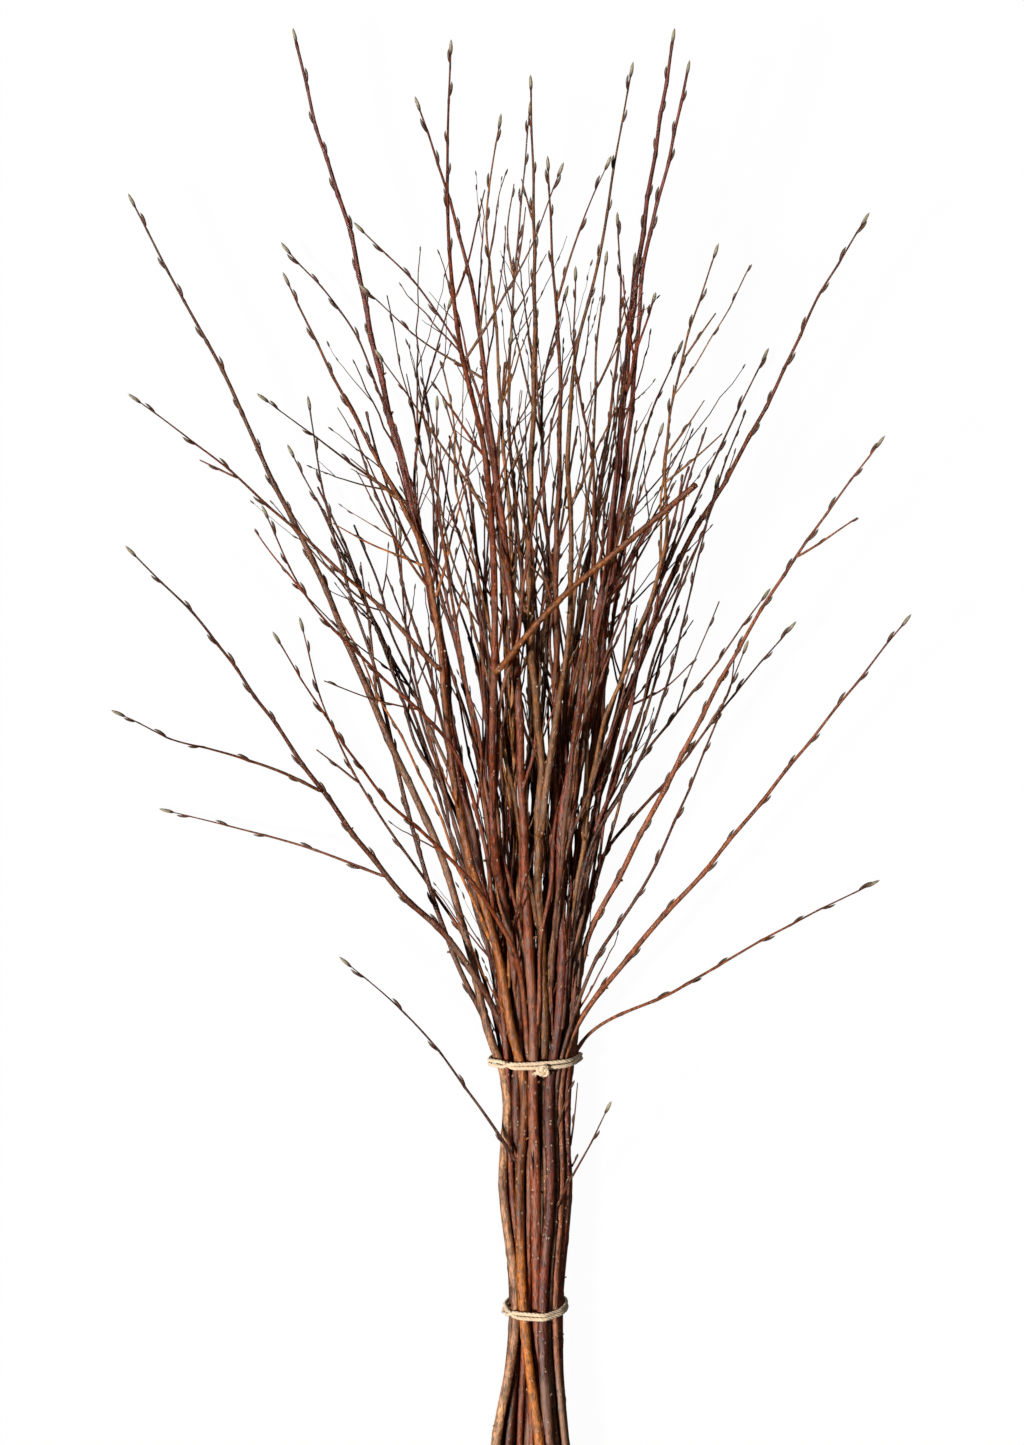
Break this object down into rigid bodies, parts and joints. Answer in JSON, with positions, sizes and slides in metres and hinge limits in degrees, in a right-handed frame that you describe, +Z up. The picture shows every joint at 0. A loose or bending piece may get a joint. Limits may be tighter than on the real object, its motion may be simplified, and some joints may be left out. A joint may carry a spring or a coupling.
{
  "type": "bundle of twigs",
  "caption": "Tied bundle of cut leafless twigs with buds, lying flat, fanned out above two bands of twine; natural decoration or kindling.",
  "frame": {"origin": "centre of the bounding box in X and Y, at the table, which is its lowest level", "axes": "+Y from the cut ends to the tips, +Z up from the table towards the side that the picture shows, +X the picture's right"},
  "size_m": [0.5104, 0.9838, 0.2374],
  "materials": {
    "bark_brown": "satin bark",
    "bark_dark": "satin bark",
    "bark_grey": "satin bark",
    "bark_olive": "satin bark",
    "bark_orange": "satin bark",
    "bark_red": "satin bark",
    "bark_wine": "satin bark",
    "twine": "rough twisted plant fibre"
  },
  "bodies": {
    "root": {"lower_tie": "twine", "twig_back_centre": "bark_grey", "twig_back_left": "bark_brown", "twig_back_mid": "bark_grey", "twig_back_mid_left": "bark_red", "twig_back_mid_right": "bark_brown", "twig_back_right": "bark_brown", "twig_behind_left": "bark_red", "twig_brown_branch": "bark_brown", "twig_brown_centre": "bark_brown", "twig_central": "bark_red", "twig_core_left": "bark_brown", "twig_core_low_left": "bark_dark", "twig_core_low_right": "bark_brown", "twig_core_mid": "bark_grey", "twig_core_right": "bark_red", "twig_core_tan": "bark_olive", "twig_cross_branch": "bark_grey", "twig_dark_kinked": "bark_dark", "twig_diagonal": "bark_wine", "twig_golden": "bark_orange", "twig_left_arch": "bark_brown", "twig_left_cross": "bark_red", "twig_left_dark": "bark_dark", "twig_left_fine": "bark_brown", "twig_left_inner": "bark_grey", "twig_left_long": "bark_grey", "twig_left_low": "bark_brown", "twig_left_low_branch": "bark_brown", "twig_left_low_fork": "bark_brown", "twig_left_red": "bark_red", "twig_left_slant_branch": "bark_grey", "twig_left_wide_branch": "bark_brown", "twig_low_left_spray": "bark_dark", "twig_low_right_spray": "bark_dark", "twig_mid_left_branch": "bark_grey", "twig_orange_branch": "bark_orange", "twig_pale_fork": "bark_olive", "twig_pale_fork_right": "bark_olive", "twig_plum": "bark_red", "twig_red_second": "bark_wine", "twig_red_side_branch": "bark_wine", "twig_red_tall": "bark_wine", "twig_red_third": "bark_red", "twig_right_dark": "bark_dark", "twig_right_high": "bark_brown", "twig_right_inner": "bark_grey", "twig_right_kinked": "bark_olive", "twig_right_low": "bark_brown", "twig_right_lowest": "bark_brown", "twig_right_mid": "bark_brown", "twig_right_sweep": "bark_brown", "twig_right_thin": "bark_dark", "twig_right_upper": "bark_grey", "twig_slim_branch": "bark_grey", "twig_slim_centre": "bark_olive", "upper_tie": "twine"}
  },
  "joints": []
}
